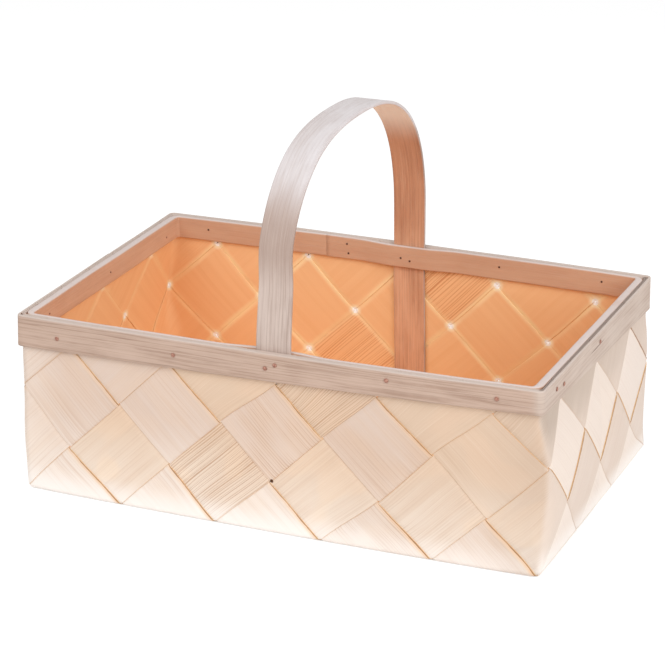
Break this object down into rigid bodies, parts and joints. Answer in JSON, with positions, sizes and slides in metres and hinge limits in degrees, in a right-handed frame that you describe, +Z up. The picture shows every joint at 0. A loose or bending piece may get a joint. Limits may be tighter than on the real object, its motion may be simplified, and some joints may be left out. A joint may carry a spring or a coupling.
{
  "type": "mushroom foraging basket",
  "caption": "Rectangular basket plaited on the bias from wide wooden splints, with a nailed double rim hoop and one fixed bent arch handle.",
  "frame": {"origin": "on the floor under the middle of the base", "axes": "+X along the long side to the right, +Y to the back, +Z up"},
  "size_m": [0.4774, 0.2896, 0.321],
  "materials": {
    "splint": "pale planed softwood splint, raw and unvarnished",
    "hoop": "sawn softwood strip, raw, with visible straight grain",
    "handle": "steam-bent softwood strip, raw, with lengthwise grain",
    "nail": "dull small round-headed nail"
  },
  "bodies": {
    "root": {"right_leaning_splint_1": "splint", "right_leaning_splint_2": "splint", "right_leaning_splint_3": "splint", "right_leaning_splint_4": "splint", "right_leaning_splint_5": "splint", "right_leaning_splint_6": "splint", "right_leaning_splint_7": "splint", "right_leaning_splint_8": "splint", "left_leaning_splint_1": "splint", "left_leaning_splint_2": "splint", "left_leaning_splint_3": "splint", "left_leaning_splint_4": "splint", "left_leaning_splint_5": "splint", "left_leaning_splint_6": "splint", "left_leaning_splint_7": "splint", "left_leaning_splint_8": "splint", "outer_hoop": "hoop", "inner_hoop": "hoop", "handle": "handle", "front_nail_1": "nail", "front_nail_2": "nail", "front_nail_3": "nail", "front_nail_4": "nail", "front_nail_5": "nail", "front_nail_6": "nail", "back_nail_1": "nail", "back_nail_2": "nail", "back_nail_3": "nail", "back_nail_4": "nail", "back_nail_5": "nail", "back_nail_6": "nail", "back_nail_7": "nail", "right_nail_1": "nail", "right_nail_2": "nail", "right_nail_3": "nail", "left_nail_1": "nail", "left_nail_2": "nail", "left_nail_3": "nail"}
  },
  "joints": []
}
